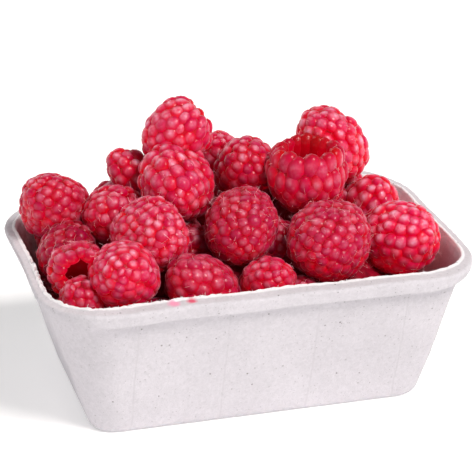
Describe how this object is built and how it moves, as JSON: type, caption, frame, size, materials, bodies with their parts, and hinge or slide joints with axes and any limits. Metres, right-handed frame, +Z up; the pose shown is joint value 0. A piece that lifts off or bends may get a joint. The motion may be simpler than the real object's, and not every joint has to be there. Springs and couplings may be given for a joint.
{
  "type": "punnet of raspberries",
  "caption": "Oblong moulded-pulp punnet with a rolled rim, heaped with fresh raspberries that stand above the rim.",
  "frame": {"origin": "on the surface the punnet stands on, under the middle of the tray", "axes": "+X along the long side of the tray, +Z up, -Y towards the long side that faces the viewer"},
  "size_m": [0.132, 0.0918, 0.0827],
  "materials": {
    "moulded_pulp": "unbleached-white pressed paper pulp, matt and slightly fibrous, with fine grey specks",
    "raspberry_flesh": "moist red fruit flesh with a pale pink down on every drupelet"
  },
  "bodies": {
    "root": {"pulp_tray": "moulded_pulp", "berry_heap": "raspberry_flesh"}
  },
  "joints": []
}
